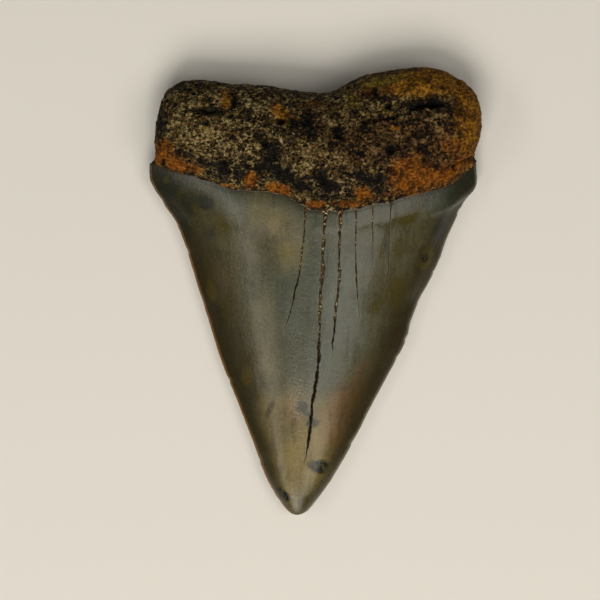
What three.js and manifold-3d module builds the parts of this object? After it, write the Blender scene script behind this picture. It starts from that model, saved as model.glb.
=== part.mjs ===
// A fossil tooth of a broad-toothed mako shark, lying on its flat labial (outer) face.
// Millimetres. x runs across the tooth, y from the tip to the root, z up through the domed lingual face.
// Root and enamelled crown grew as one piece, so the tooth is one solid.
import * as THREE from "three";
import { mergeVertices } from "three/addons/utils/BufferGeometryUtils.js";
import Module from "manifold-3d";

const { lerp, smoothstep } = THREE.MathUtils;

// Driving dimensions.
const CROWN_THICKNESS = 8.8; // labial to lingual, where the crown meets the root
const ROOT_THICKNESS = 11.2; // table to the top of the bulge in the middle of the root
const LOBE_THICKNESS = 8.9; // table to the top of each root lobe
const TIP_HEIGHT = 2.0; // the tip stands clear of the table, because the crown's flat face curls up to it
const BLADE_HEIGHT = 1.5; // the cutting edges above the table, halfway along the crown
const SHOULDER_HEIGHT = 2.5; // the cutting edges above the table, where they end at the root
const ROOT_SIDE_HEIGHT = 3.8; // the widest line round the root, above the table

// Plan view, as points that each curve runs through, measured from the tip.
const LEFT_EDGE = [
  [0, 0], [-0.6, 0.12], [-1.25, 0.6], [-2.5, 2.2], [-3.9, 4.6], [-5.8, 9.7], [-7.8, 14.8], [-9.8, 19.9],
  [-11.4, 25], [-13, 30.1], [-14.3, 34.3], [-15.6, 37.6], [-17, 39.7], [-18.2, 41.6], [-18.9, 43.2],
  [-18.9, 45],
];
const RIGHT_EDGE = [
  [0, 0], [0.6, 0.1], [1.3, 0.5], [2.7, 2.1], [4.5, 4.6], [7.4, 9.7], [10, 14.8], [12.8, 19.9], [14.1, 22.5],
  [14.8, 25], [15.7, 27.6], [17.1, 30.1], [18.3, 32.7], [19.2, 35.3], [20.3, 37.8], [21.6, 40.3],
  [22.9, 41.9], [23.1, 43.3], [22.9, 45.1],
];
const LINGUAL_NECK = [
  [-18.9, 45], [-17.4, 44.6], [-15.6, 43.9], [-13.3, 43.3], [-11.2, 42.6], [-8.3, 41.6], [-5.4, 41.3],
  [-3.3, 41.1], [-1, 40.4], [0.5, 39.6], [1.7, 39], [4.5, 38.8], [7.5, 39], [9.3, 39.6], [11.9, 39.9],
  [13, 40.4], [15.1, 40.9], [17.7, 41.5], [20.1, 42.6], [21.6, 43.9], [22.9, 45.1],
];
const LABIAL_NECK = [
  [-18.9, 45], [-16, 45.6], [-11.5, 45.2], [-6, 43.9], [-1, 42.9], [3, 42.7], [7.5, 43.2], [12.5, 44.8],
  [17, 46.1], [20.5, 46.2], [22.9, 45.1],
];
const ROOT_LEFT = [[-18.9, 45], [-18.1, 45.7], [-18, 46.8], [-18.1, 48.2], [-17.8, 50.7]];
const ROOT_RIGHT = [[22.9, 45.1], [22.7, 46.1], [22.9, 47], [23.3, 48.4], [23.5, 50.2]];
const ROOT_TOP = [
  [-17.8, 50.7], [-17.3, 52.8], [-16.4, 54.4], [-15, 55.3], [-13.4, 55.6], [-11, 55.4], [-8.5, 55.1],
  [-6, 55], [-3.4, 54.8], [-0.9, 54.3], [1.7, 54], [3.6, 53.9], [4.8, 54.2], [6.1, 55], [8, 55.9],
  [10.6, 56.6], [13.1, 57], [15.7, 57.2], [18.2, 56.9], [19.7, 56.3], [20.3, 55.8], [21.2, 55.4],
  [22.2, 54.5], [23, 53.2], [23.4, 51.8], [23.5, 50.2],
];

// Weathered relief of the root's lingual face: a swelling or a dent at a place, [x, y, radius, height].
const SWELLINGS = [
  [-11, 48.6, 3.4, 0.45], // left lobe's shoulder
  [-15, 51.5, 2.2, 0.3], // left lobe's corner
  [-6.5, 47.6, 2.6, 0.3],
  [2.5, 45.2, 3.4, 0.35], // boss over the middle of the neck
  [13.5, 45.6, 3, 0.35],
  [18.5, 49.2, 2.8, 0.4], // right lobe's shoulder
  [17.5, 54.4, 2, 0.3],
  [-8.5, 52.3, 1.6, -0.3], // hollow beside the left lobe's arch
  [-2.4, 50.9, 1.9, -0.35], // hollow round the foramen
  [5.2, 50.4, 2.2, -0.45], // saddle under the notch between the lobes
  [9.3, 53.6, 1.5, -0.35],
  [16.2, 52.3, 1.6, -0.4],
  [8, 42, 1.8, -0.25],
  [-7.6, 43.8, 1.7, -0.25],
];
// The long crease across the right lobe.
const CREASE = [[7, 50], [10, 50.9], [13, 51.9], [16, 52.6], [18.6, 52.4]];
const CREASE_DEPTH = 0.6;
const CREASE_WIDTH = 0.7;
// The fine lumps all over the root.
const LUMP_HEIGHT = 0.2;
const LUMP_TURN = 1.9; // radians a millimetre, a lump every 3.3 mm
const LUMP_WANDER = { across: 1.3, up: 1.2, turn: 0.8 }; // how far the rows of lumps wander, in radians
// Blood vessel openings and corroded holes: [x, y, radius, depth].
const PITS = [
  [-1.9, 50.1, 0.5, 0.9], // nutrient foramen
  [11.4, 52, 0.6, 0.8],
  [9.1, 53.7, 0.85, 0.6],
  [20, 44.4, 0.42, 0.6],
  [-17.2, 44.8, 0.42, 0.5],
  [9.9, 40.2, 0.4, 0.5],
  [-7.8, 52.2, 0.5, 0.5],
];
// Drying cracks in the lingual enamel, from the tip's end up to the neck.
// Width is from the bottom to one lip.
const CRACKS = [
  {
    width: 0.3,
    depth: 0.5,
    track: [
      [0.6, 5.8], [1.3, 8.3], [1.8, 12.3], [2, 14.8], [2.4, 17], [2.8, 21], [2.8, 26], [3.1, 30.8],
      [3.3, 35.8], [3.6, 39],
    ],
  },
  {
    width: 0.28,
    depth: 0.45,
    track: [[4.6, 19.7], [4.5, 22.2], [4.9, 26.2], [5.3, 31], [5.4, 35.6], [5.5, 39]],
  },
  { width: 0.24, depth: 0.4, track: [[-1.8, 22.9], [-0.6, 27], [0.3, 31], [0.8, 35], [1.1, 39]] },
  { width: 0.2, depth: 0.3, track: [[8.1, 24.5], [7.6, 29], [7.5, 34], [7.5, 39]] },
];
const CRACK_FADE = 4; // the length over which a crack runs out to nothing at its lower end

// The forms of the crown's cross-sections.
const LENS_POWER = 1.15; // how hollow the lingual face runs out to the cutting edges
const TIP_BLUNTNESS = 0.9; // how much squarer the lingual face is across the worn tip
const BLUNT_SHARE = 0.3; // the share of the crown, from the tip, over which that fades out
const FLAT_POWER = 2.6; // how long the labial face stays flat before it turns up to them
const FLAT_DIP = 0.15; // how deep the labial curve would pass under the table: the worn flat it rests on
const CURL_SHARE = 0.34; // the share of the crown, from the tip, that curls clear of the table
const EDGE_TIP_POWER = 4; // how soon the cutting edges come down from the tip
const EDGE_SHOULDER_POWER = 6; // how late they rise to the shoulders
const NECK_BOW_POWER = 3; // how late the crown's rows take on the curve of the neck

// The forms of the root's cross-sections.
const LOBE_END_POWER = 5; // how square the root is from end to end
const CREST_SHARE = 0.42; // where between neck and top the root is thickest
const CREST_SPREAD = 0.45;
const CREST_POWER = 2.2; // how square it turns over from there to its top
const SAG = 0.1; // how much lower it is at the neck than at its thickest
const NECK_RISE = 0.3; // the share of the root over which it climbs from the neck to the dome
const CLIMB_POWER = 2.2; // how steeply it starts
const SIDE_RISE = 0.25; // the share over which its side line climbs from the shoulder
const NECK_GROOVE = 0.1; // the gutter between enamel and root
const NECK_GROOVE_SHARE = 0.018;
const GROOVE_END_POWER = 6; // how near the ends of the neck it runs out
const FOOT_STEP = 0.45; // the enamel's foot stands this proud of the root on the labial face
const FOOT_LIP = 0.03;
const FOOT_RUN = [0.08, 0.35]; // between these shares the step runs out
const LABIAL_HOLLOW = 0.8; // shallow hollow in the middle of the root's labial face
const HOLLOW_SPREAD = 0.3;
const HOLLOW_RUN = [0.1, 0.5]; // between these shares it deepens
const LABIAL_TURN = 0.62; // where the labial face starts to turn up to the top of the root
const LABIAL_TURN_POWER = 2.4;
const RELIEF_START = { lingual: [0, 0.2], labial: [0.1, 0.3] }; // the relief fades in from the neck
const RELIEF_END_POWER = 8; // and runs out to nothing at the top

// Mesh spacing.
const CROWN_ROWS = [
  0, 0.012, 0.03, 0.055, 0.085, 0.12, 0.16, 0.2, 0.24, 0.28, 0.32, 0.36, 0.4, 0.44, 0.48, 0.52, 0.56, 0.6,
  0.64, 0.68, 0.72, 0.76, 0.8, 0.84, 0.88, 0.915, 0.945, 0.968, 0.985, 1,
];
const ROOT_ROWS = [
  0.025, 0.055, 0.09, 0.13, 0.175, 0.22, 0.265, 0.31, 0.355, 0.4, 0.445, 0.49, 0.535, 0.58, 0.625, 0.67,
  0.715, 0.76, 0.8, 0.84, 0.88, 0.915, 0.945, 0.97, 0.987, 0.997, 1,
];
const CROWN_SPACING = { lingual: 0.9, labial: 1.35 };
const ROOT_SPACING = { lingual: 0.68, labial: 1.2 };
const FEWEST_COLUMNS = 6;
const CROWDING = 0.6; // how far the columns crowd towards the edges, where the root turns over
const GROOVE_CLEARANCE = 0.4; // no plain column comes this near a crack's own, as a share of the spacing
const CREASE_POINTS = 24;
const HALVINGS = 24; // how often a crack's place in a row is narrowed down
const PIT_SIDES = 10;
const PIT_RINGS = 6;
const WELD = 1e-4; // points closer than this are one point
const OVERHEAD = 100; // a height that clears the whole tooth

const curve = (points) => new THREE.CatmullRomCurve3(points.map(([x, y]) => new THREE.Vector3(x, y, 0)));
const along = (points) => {
  const line = curve(points);
  return (share) => line.getPointAt(THREE.MathUtils.clamp(share, 0, 1));
};
const leftEdge = along(LEFT_EDGE);
const rightEdge = along(RIGHT_EDGE);
const rootLeft = along(ROOT_LEFT);
const rootRight = along(ROOT_RIGHT);
const rootTop = along(ROOT_TOP);
const necks = { lingual: along(LINGUAL_NECK), labial: along(LABIAL_NECK) };

// How far a curve bends away from the straight line between its ends.
const bend = (line, across) => line(across).sub(line(0).lerp(line(1), across));

// Plan position on the crown: across is 0 at the left edge and 1 at the right,
// and up is 0 at the tip and 1 at the neck.
function crownPlan(side, across, up) {
  const chord = leftEdge(up).lerp(rightEdge(up), across);
  return chord.addScaledVector(bend(necks[side], across), up ** NECK_BOW_POWER);
}

// Plan position on the root: up is 0 at the neck and 1 at the top of the root.
function rootPlan(side, across, up) {
  const chord = rootLeft(up).lerp(rootRight(up), across);
  chord.addScaledVector(bend(necks[side], across), 1 - up);
  return chord.addScaledVector(bend(rootTop, across), up);
}

// Heights above the table. off is -1 at the left edge, 0 on the midline and 1 at the right edge.
function bladeHeight(up) {
  const tip = (TIP_HEIGHT - BLADE_HEIGHT) * (1 - up) ** EDGE_TIP_POWER;
  const shoulder = (SHOULDER_HEIGHT - BLADE_HEIGHT) * up ** EDGE_SHOULDER_POWER;
  return BLADE_HEIGHT + tip + shoulder;
}
const curl = (up) => -FLAT_DIP + (TIP_HEIGHT + FLAT_DIP) * Math.max(0, 1 - up / CURL_SHARE) ** 2;

function crownHeight(side, off, up) {
  const edge = bladeHeight(up);
  if (side === "labial")
    return Math.max(0, edge - (edge - curl(up)) * (1 - Math.abs(off) ** FLAT_POWER));
  const crest = curl(up) + CROWN_THICKNESS * Math.sqrt(up);
  const groove = NECK_GROOVE * smoothstep(up, 1 - NECK_GROOVE_SHARE, 1) * (1 - off ** GROOVE_END_POWER);
  const dome = 1 - Math.abs(off) ** (2 + TIP_BLUNTNESS * Math.max(0, 1 - up / BLUNT_SHARE));
  return edge + (crest - edge) * dome ** LENS_POWER - groove;
}

const crease = curve(CREASE).getPoints(CREASE_POINTS);
const bell = (distance, spread) => Math.exp(-((distance / spread) ** 2));

// Low lumps in rows that wander, so they don't line up.
function lumps(x, y) {
  const across = Math.sin(LUMP_TURN * x + LUMP_WANDER.across * Math.sin(y));
  const up = Math.sin(LUMP_TURN * y + LUMP_WANDER.up * Math.sin(LUMP_WANDER.turn * x));
  return LUMP_HEIGHT * across * up;
}

function relief(x, y) {
  let height = lumps(x, y);
  for (const [cx, cy, radius, rise] of SWELLINGS) {
    height += rise * bell(Math.hypot(x - cx, y - cy), radius);
  }
  const gap = Math.min(...crease.map((p) => Math.hypot(p.x - x, p.y - y)));
  return height - CREASE_DEPTH * bell(gap, CREASE_WIDTH);
}

// A quarter of an oval: 1 until share, and falling to 0 at 1.
const roundOff = (up, share, power) => Math.sqrt(1 - Math.max(0, (up - share) / (1 - share)) ** power);

function rootHeight(side, off, up, place) {
  const edge = lerp(SHOULDER_HEIGHT, ROOT_SIDE_HEIGHT, smoothstep(up, 0, SIDE_RISE));
  const ends = Math.sqrt(1 - Math.abs(off) ** LOBE_END_POWER);
  const climb = 1 - (1 - Math.min(up / NECK_RISE, 1)) ** CLIMB_POWER;
  const neck = crownHeight(side, off, 1);
  const weathered = ends * (1 - up ** RELIEF_END_POWER) * smoothstep(up, ...RELIEF_START[side]);
  if (side === "labial") {
    const hollow = LABIAL_HOLLOW * bell(off, HOLLOW_SPREAD) * smoothstep(up, ...HOLLOW_RUN);
    const step = FOOT_STEP * ends * smoothstep(up, 0, FOOT_LIP) * (1 - smoothstep(up, ...FOOT_RUN));
    const face = edge - (edge - hollow) * ends * roundOff(up, LABIAL_TURN, LABIAL_TURN_POWER);
    return Math.max(0, lerp(neck, face, climb) + step + lumps(place.x, place.y) * weathered);
  }
  const crest = LOBE_THICKNESS + (ROOT_THICKNESS - LOBE_THICKNESS) * bell(off, CREST_SPREAD);
  const sag = 1 - SAG * Math.max(0, 1 - up / CREST_SHARE) ** 2;
  const dome = edge + (crest - edge) * ends * sag * roundOff(up, CREST_SHARE, CREST_POWER);
  return lerp(neck, dome, climb) + relief(place.x, place.y) * weathered;
}

function crownPoint(side, across, up) {
  const place = crownPlan(side, across, up);
  return place.setZ(crownHeight(side, 2 * across - 1, up));
}

function rootPoint(side, across, up) {
  const place = rootPlan(side, across, up);
  return place.setZ(rootHeight(side, 2 * across - 1, up, place));
}

// Where a crack's track is at this y. Past its upper end it runs on straight up.
function trackX(track, y) {
  const next = track.findIndex((point) => point[1] > y);
  if (next < 0) return track[track.length - 1][0];
  const [below, above] = [track[Math.max(0, next - 1)], track[Math.max(1, next)]];
  return lerp(below[0], above[0], (y - below[1]) / (above[1] - below[1]));
}

// The share across the crown at which a crack's track passes the row at this height.
function crackShare(track, up) {
  let [low, high] = [0, 1];
  for (let halving = 0; halving < HALVINGS; halving += 1) {
    const middle = (low + high) / 2;
    const place = crownPlan("lingual", middle, up);
    if (place.x < trackX(track, place.y)) low = middle;
    else high = middle;
  }
  return low;
}

// The stops that carry a crack's groove across one row: its left lip, its bottom and its right lip.
function grooveStops(up, length) {
  return CRACKS.flatMap(({ width, depth, track }, k) => {
    const share = crackShare(track, up);
    const reach = crownPlan("lingual", share, up).y - track[0][1];
    if (reach <= 0) return [];
    const fade = Math.min(1, reach / CRACK_FADE);
    const lip = (width * (0.5 + 0.5 * fade)) / length;
    return [
      { share: share - lip, drop: 0, mark: `left lip ${k}` },
      { share, drop: depth * fade, mark: `bottom ${k}` },
      { share: share + lip, drop: 0, mark: `right lip ${k}` },
    ];
  });
}

// Even shares across a row of this many columns, crowded towards its ends.
function plainStops(columns) {
  return Array.from({ length: columns + 1 }, (_, i) => {
    const even = i / columns;
    const crowded = (1 - Math.cos(Math.PI * even)) / 2;
    return { share: lerp(even, crowded, CROWDING), drop: 0 };
  });
}

// One row of points across one face.
function row(point, side, up) {
  const length = point(side, 0, up).distanceTo(point(side, 1, up));
  // Both faces close on the same points along the top of the root.
  const onRoot = point === rootPoint;
  const spacing = onRoot ? ROOT_SPACING[up === 1 ? "lingual" : side] : CROWN_SPACING[side];
  const stops = plainStops(Math.max(FEWEST_COLUMNS, Math.round(length / spacing)));
  stops[0].mark = "left edge";
  stops[stops.length - 1].mark = "right edge";
  const grooves = side === "lingual" && !onRoot ? grooveStops(up, length) : [];
  const clear = (spacing * GROOVE_CLEARANCE) / length;
  const isClear = (stop) => grooves.every(({ share }) => Math.abs(share - stop.share) > clear);
  return [...stops.filter((stop) => stop.mark || isClear(stop)), ...grooves]
    .sort((a, b) => a.share - b.share)
    .map(({ share, drop, mark }) => {
      const place = point(side, share, up);
      return { share, mark, place: place.setZ(place.z - drop) };
    });
}

// Fills the gap between two rows with triangles, stepping along whichever row is behind.
function fill(lower, upper, triangles) {
  let [i, j] = [0, 0];
  while (i < lower.length - 1 || j < upper.length - 1) {
    const [nextLower, nextUpper] = [lower[i + 1], upper[j + 1]];
    const stepLower = !nextUpper || (nextLower && nextLower.share <= nextUpper.share);
    triangles.push(lower[i].place, (stepLower ? nextLower : nextUpper).place, upper[j].place);
    if (stepLower) i += 1;
    else j += 1;
  }
}

// The strip between two rows, joined at the marks that both of them carry.
function strip(lower, upper, triangles) {
  const index = (line, mark) => line.findIndex((stop) => stop.mark === mark);
  const marks = lower.map((stop) => stop.mark).filter((mark) => mark && index(upper, mark) >= 0);
  for (let m = 1; m < marks.length; m += 1) {
    const part = (line) => line.slice(index(line, marks[m - 1]), index(line, marks[m]) + 1);
    fill(part(lower), part(upper), triangles);
  }
}

function toothSurface() {
  const corners = [];
  for (const side of ["lingual", "labial"]) {
    const rows = [
      ...CROWN_ROWS.map((up) => row(crownPoint, side, up)),
      ...ROOT_ROWS.map((up) => row(rootPoint, side, up)),
    ];
    const face = [];
    for (let r = 1; r < rows.length; r += 1) strip(rows[r - 1], rows[r], face);
    // The labial face is seen from below, so its triangles turn the other way.
    corners.push(...(side === "lingual" ? face : face.reverse()));
  }
  return mergeVertices(new THREE.BufferGeometry().setFromPoints(corners), WELD);
}

const wasm = await Module();
wasm.setup();

function toSolid(geometry) {
  const bare = geometry.clone();
  bare.deleteAttribute("normal");
  bare.deleteAttribute("uv");
  const merged = mergeVertices(bare, WELD);
  const index = Array.from(merged.index.array);
  const triVerts = [];
  for (let i = 0; i < index.length; i += 3) {
    const corners = index.slice(i, i + 3);
    // A triangle at the tip or at a ball's pole that has shrunk to a line is left out.
    if (new Set(corners).size === 3) triVerts.push(...corners);
  }
  const mesh = new wasm.Mesh({
    numProp: 3,
    vertProperties: merged.attributes.position.array,
    triVerts: new Uint32Array(triVerts),
  });
  return new wasm.Manifold(mesh);
}

function toGeometry(solid) {
  const mesh = solid.getMesh();
  return new THREE.BufferGeometry()
    .setAttribute("position", new THREE.BufferAttribute(mesh.vertProperties, 3))
    .setIndex(new THREE.BufferAttribute(mesh.triVerts, 1));
}

// Height of the lingual face at a place, found by dropping a ray on it.
function lingualFace(surface) {
  const target = new THREE.Mesh(surface);
  const down = new THREE.Vector3(0, 0, -1);
  return (x, y) => {
    const hits = new THREE.Raycaster(new THREE.Vector3(x, y, OVERHEAD), down).intersectObject(target);
    return hits.length ? hits[0].point.z : 0;
  };
}

function pitCutter([x, y, radius, depth], heightAt) {
  const ball = new THREE.SphereGeometry(radius, PIT_SIDES, PIT_RINGS);
  ball.rotateX(Math.PI / 2);
  ball.scale(1, 1, depth / radius);
  return ball.translate(x, y, heightAt(x, y));
}

function buildTooth() {
  const surface = toothSurface();
  const heightAt = lingualFace(surface);
  let solid = toSolid(surface);
  for (const pit of PITS) solid = solid.subtract(toSolid(pitCutter(pit, heightAt)));
  const geometry = toGeometry(solid);
  // The part's origin is the middle of its footprint, on the table.
  geometry.computeBoundingBox();
  const middle = geometry.boundingBox.getCenter(new THREE.Vector3());
  geometry.translate(-middle.x, -middle.y, -geometry.boundingBox.min.z);
  geometry.computeVertexNormals();
  const fossil = new THREE.MeshStandardMaterial({ color: 0x6b6550, roughness: 0.45, metalness: 0 });
  const tooth = new THREE.Mesh(geometry, fossil);
  tooth.name = "tooth";
  return tooth;
}

const part = new THREE.Group();
part.add(buildTooth());

export default part;
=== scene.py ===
import math

import bpy
import numpy as np
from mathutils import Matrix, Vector, noise


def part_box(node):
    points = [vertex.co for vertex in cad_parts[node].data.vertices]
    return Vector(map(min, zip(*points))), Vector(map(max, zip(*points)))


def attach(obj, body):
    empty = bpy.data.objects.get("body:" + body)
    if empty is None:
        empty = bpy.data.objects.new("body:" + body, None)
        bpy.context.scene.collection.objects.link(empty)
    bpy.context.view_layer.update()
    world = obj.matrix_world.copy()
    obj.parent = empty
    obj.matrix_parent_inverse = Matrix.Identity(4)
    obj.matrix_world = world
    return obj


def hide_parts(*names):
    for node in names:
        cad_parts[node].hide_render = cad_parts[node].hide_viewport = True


# A fossil tooth of a broad-toothed mako shark, lying on its labial (outer) face.
# It is laid out in millimetres from its tip, as on a bench: x across, y from tip to root, z up.
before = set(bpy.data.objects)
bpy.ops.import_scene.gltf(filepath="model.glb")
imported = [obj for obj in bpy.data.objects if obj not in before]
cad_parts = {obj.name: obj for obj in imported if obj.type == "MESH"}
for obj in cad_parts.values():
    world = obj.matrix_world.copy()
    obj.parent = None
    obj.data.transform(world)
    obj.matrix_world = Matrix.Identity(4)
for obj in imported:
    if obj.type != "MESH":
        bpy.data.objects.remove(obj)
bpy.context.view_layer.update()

PHOTO = 600  # the picture's side in pixels
TIP_PIXEL = (297, 516)  # where the picture shows the tip
PIXEL = 0.1275  # millimetres of tooth to one pixel of the picture

# Thicknesses and heights in millimetres, and shares of the crown's or the root's length.
CROWN_THICKNESS = 8.8
ROOT_THICKNESS = 11.2
LOBE_THICKNESS = 8.9
TIP_HEIGHT = 2.0  # of the cutting edges, here and at the blade and the shoulders
BLADE_HEIGHT = 1.5
SHOULDER_HEIGHT = 2.5
ROOT_SIDE_HEIGHT = 3.8
LENS_POWER = 1.02  # the crown's section: 1 is a plain arch, and more draws it in at the edges
FLAT_POWER = 2.6  # how flat its labial side is
FLAT_DIP = 0.15  # how much of that side is worn away to a flat
CURL_SHARE = 0.34  # over this share the tip curls up
TIP_BLUNTNESS = 0.9  # how much fuller the section is at the tip
BLUNT_SHARE = 0.3  # over this share it thins to the blade's
LOBE_END_POWER = 5  # how blunt the lobes' ends are
CREST_SHARE = 0.42  # the root is thickest here
CREST_SPREAD = 0.45  # how broad the boss over the neck is, in half widths
NECK_RISE = 0.3  # over this share the root climbs from the neck
NECK_GROOVE = 0.06
NECK_GROOVE_SHARE = 0.018
FOOT_STEP = 0.45  # from the enamel's labial foot to the root
LABIAL_HOLLOW = 0.8
EDGE_BAND = 0.45  # the border of the crown that wear draws in
GAPING = 0.45  # a crack this open is lined with dirt

# Plan outlines, each a run of points for a smooth curve.
LEFT_EDGE = [
    (0, 0), (-0.6, 0.12), (-1.25, 0.6), (-2.5, 2.2), (-3.9, 4.6), (-5.8, 9.7), (-7.8, 14.8),
    (-9.8, 19.9), (-11.4, 25), (-13, 30.1), (-14.3, 34.3), (-15.6, 37.6), (-17, 39.7),
    (-18.2, 41.6), (-18.9, 43.2), (-18.9, 45),
]
RIGHT_EDGE = [
    (0, 0), (0.6, 0.1), (1.3, 0.5), (2.7, 2.1), (4.5, 4.6), (7.4, 9.7), (10, 14.8), (12.8, 19.9),
    (14.1, 22.5), (14.8, 25), (15.7, 27.6), (17.1, 30.1), (18.3, 32.7), (19.2, 35.3), (20.3, 37.8),
    (21.6, 40.3), (22.9, 41.9), (23.1, 43.3), (22.9, 45.1),
]
LINGUAL_NECK = [
    (-18.9, 45), (-17.4, 44.6), (-15.6, 43.9), (-13.3, 43.3), (-11.2, 42.6), (-8.3, 41.6),
    (-5.4, 41.3), (-3.3, 41.1), (-1, 40.4), (0.5, 39.6), (1.7, 39), (4.5, 38.8), (7.5, 39),
    (9.3, 39.6), (11.9, 39.9), (13, 40.4), (15.1, 40.9), (17.7, 41.5), (20.1, 42.6), (21.6, 43.9),
    (22.9, 45.1),
]
LABIAL_NECK = [
    (-18.9, 45), (-16, 45.6), (-11.5, 45.2), (-6, 43.9), (-1, 42.9), (3, 42.7), (7.5, 43.2),
    (12.5, 44.8), (17, 46.1), (20.5, 46.2), (22.9, 45.1),
]
ROOT_LEFT = [(-18.9, 45), (-18.1, 45.7), (-18, 46.8), (-18.1, 48.2), (-17.8, 50.7)]
ROOT_RIGHT = [(22.9, 45.1), (22.7, 46.1), (22.9, 47), (23.3, 48.4), (23.5, 50.2)]
ROOT_TOP = [
    (-17.8, 50.7), (-17.3, 52.8), (-16.4, 54.4), (-15, 55.3), (-13.4, 55.6), (-11, 55.4),
    (-8.5, 55.1), (-6, 55), (-3.4, 54.8), (-0.9, 54.3), (1.7, 54), (3.6, 53.9), (4.8, 54.2),
    (6.1, 55), (8, 55.9), (10.6, 56.6), (13.1, 57), (15.7, 57.2), (18.2, 56.9), (19.7, 56.3),
    (20.3, 55.8), (21.2, 55.4), (22.2, 54.5), (23, 53.2), (23.4, 51.8), (23.5, 50.2),
]

# Relief of the root: swellings as (x, y, radius, height), then the creases and the holes.
SWELLINGS = [
    (-11, 48.6, 3.4, 0.45), (-15, 51.5, 2.2, 0.3), (-6.5, 47.6, 2.6, 0.3), (2.5, 45.2, 3.4, 0.35),
    (13.5, 45.6, 3, 0.35), (18.5, 49.2, 2.8, 0.4), (17.5, 54.4, 2, 0.3), (-8.5, 52.3, 1.6, -0.3),
    (-2.4, 50.9, 1.9, -0.35), (5.2, 50.4, 2.2, -0.45), (9.3, 53.6, 1.5, -0.35),
    (16.2, 52.3, 1.6, -0.4), (8, 42, 1.8, -0.25), (-7.6, 43.8, 1.7, -0.25),
]
CREASES = [  # (depth, half width, points)
    # across the right lobe
    (0.55, 0.28, [(8.3, 50), (11, 50.4), (13.7, 51.1), (15.2, 52), (18.2, 52.4)]),
    # under the right lobe's collar
    (0.5, 0.2, [(19.9, 44.3), (20.7, 44.8), (21.8, 45.3), (22.9, 46)]),
    # below the left lobe's ledge
    (0.4, 0.25, [(-13.8, 51.5), (-12.4, 51.8), (-11.2, 51.3), (-10.3, 51.3)]),
    # small ones over the neck and the left lobe
    (0.35, 0.22, [(4.4, 39.7), (6, 39.6), (7.4, 39.7)]),
    (0.35, 0.2, [(-7.9, 53.4), (-7.8, 52.6), (-8, 51.9)]),
    (0.3, 0.25, [(-17.6, 45.4), (-15.5, 44.9), (-13.4, 44.1)]),
]
HOLES = [  # (x, y, radius, depth)
    (-2.0, 50.1, 0.5, 1.1),  # nutrient foramen
    (11.55, 52.0, 0.55, 0.9),
    (9.2, 54.0, 1.2, 0.3),
    (9.8, 54.1, 0.6, 0.35),
    (19.95, 44.3, 0.45, 0.8),
    (-17.2, 44.8, 0.4, 0.6),
    (9.0, 40.1, 0.4, 0.5),
    (-11.5, 49.8, 0.4, 0.4),
    (6.3, 54.4, 0.35, 0.4),
    (17, 52.3, 0.8, 0.5),
    (20.6, 55.3, 0.4, 0.4),
    (5.4, 48.2, 0.6, 0.45),
    (11.9, 46.5, 0.5, 0.35),
    (1.2, 49.9, 0.7, 0.4),
    (-4.0, 47.2, 0.5, 0.3),
    (-8.6, 43.7, 0.5, 0.35),
    (3.4, 42.4, 0.6, 0.4),
]

# Drying cracks in the lingual enamel from left to right, each from the tip's end up to the neck.
# open is how dark and wide it gapes, and crystals is how far down from the neck brown and white
# mineral fills it, in millimetres.
CRACKS = [
    dict(half_width=0.04, depth=0.02, open=0.14, crystals=0, track=[
        (-5.5, 35.2), (-5.35, 38.5), (-5.2, 41.4),
    ]),
    dict(half_width=0.075, depth=0.16, open=0.9, crystals=11, track=[
        (-1.8, 22.9), (-0.6, 27), (0.3, 31), (0.8, 35), (1.1, 39.5),
    ]),
    dict(half_width=0.04, depth=0.04, open=0.4, crystals=0, track=[
        (2.2, 34.4), (2.3, 36), (2.4, 39.2),
    ]),
    dict(half_width=0.13, depth=0.24, open=1, crystals=22, track=[
        (0.6, 5.8), (1.3, 8.3), (1.8, 12.3), (1.95, 14.8), (2.4, 17), (2.65, 18.9), (2.8, 21),
        (2.85, 23.8), (2.9, 26.1), (3.0, 28.6), (3.2, 30.8), (3.3, 33.5), (3.4, 35.8), (3.55, 37.9),
        (3.6, 39),
    ]),
    dict(half_width=0.11, depth=0.2, open=0.95, crystals=18, track=[
        (4.6, 19.7), (4.5, 22.2), (4.7, 23.3), (4.9, 26.1), (5.15, 28.6), (5.4, 30.9), (5.3, 32.8),
        (5.4, 35.6), (5.5, 39),
    ]),
    dict(half_width=0.055, depth=0.1, open=0.7, crystals=8, track=[
        (8.1, 24.5), (7.75, 27.3), (7.5, 30.2), (7.4, 34), (7.5, 39),
    ]),
    dict(half_width=0.04, depth=0.05, open=0.5, crystals=3, track=[
        (9.55, 31.5), (9.6, 34.9), (9.55, 39.2),
    ]),
    dict(half_width=0.045, depth=0.06, open=0.45, crystals=6, track=[
        (11.4, 22.4), (11.65, 26.5), (11.6, 30.5), (11.7, 35), (11.8, 37.9), (11.9, 39.9),
    ]),
]

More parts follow.
